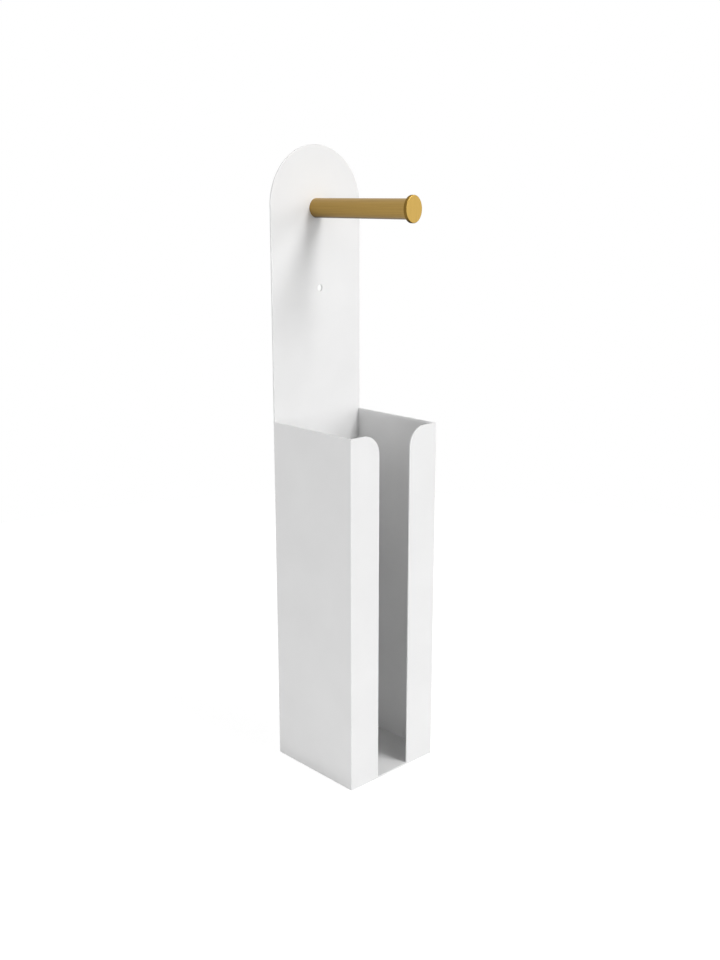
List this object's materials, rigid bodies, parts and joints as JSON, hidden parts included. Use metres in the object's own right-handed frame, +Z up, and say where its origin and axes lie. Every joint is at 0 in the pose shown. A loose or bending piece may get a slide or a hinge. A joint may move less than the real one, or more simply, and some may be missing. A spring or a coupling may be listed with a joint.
{
  "type": "toilet paper stand",
  "caption": "Free-standing toilet paper stand: white sheet-steel store with a slotted front, a tall arched back plate and a round brass arm that carries the roll in use.",
  "frame": {"origin": "on the floor, in the middle of the store's footprint", "axes": "+Z up, +Y towards the wall behind the plate, -Y the way the arm and the slotted front face, +X to the right seen from the front"},
  "size_m": [0.13, 0.1505, 0.701],
  "materials": {
    "white_powder_coat": "satin white powder coat on sheet steel",
    "coated_weld": "weld bead under the same white powder coat",
    "zinc_steel": "zinc plated",
    "brushed_brass": "drawn tube, brushed and lacquered",
    "plate_brass": "cut from plate, face brushed upright and lacquered"
  },
  "bodies": {
    "root": {"back_plate": "white_powder_coat", "left_side_panel": "white_powder_coat", "right_side_panel": "white_powder_coat", "floor_panel": "white_powder_coat", "left_rear_weld": "coated_weld", "right_rear_weld": "coated_weld", "floor_rear_weld": "coated_weld", "floor_front_weld": "coated_weld", "floor_left_weld": "coated_weld", "floor_right_weld": "coated_weld", "arm_stud": "zinc_steel", "arm_bush": "zinc_steel", "arm_tube": "brushed_brass", "arm_end_cap": "plate_brass"}
  },
  "joints": []
}
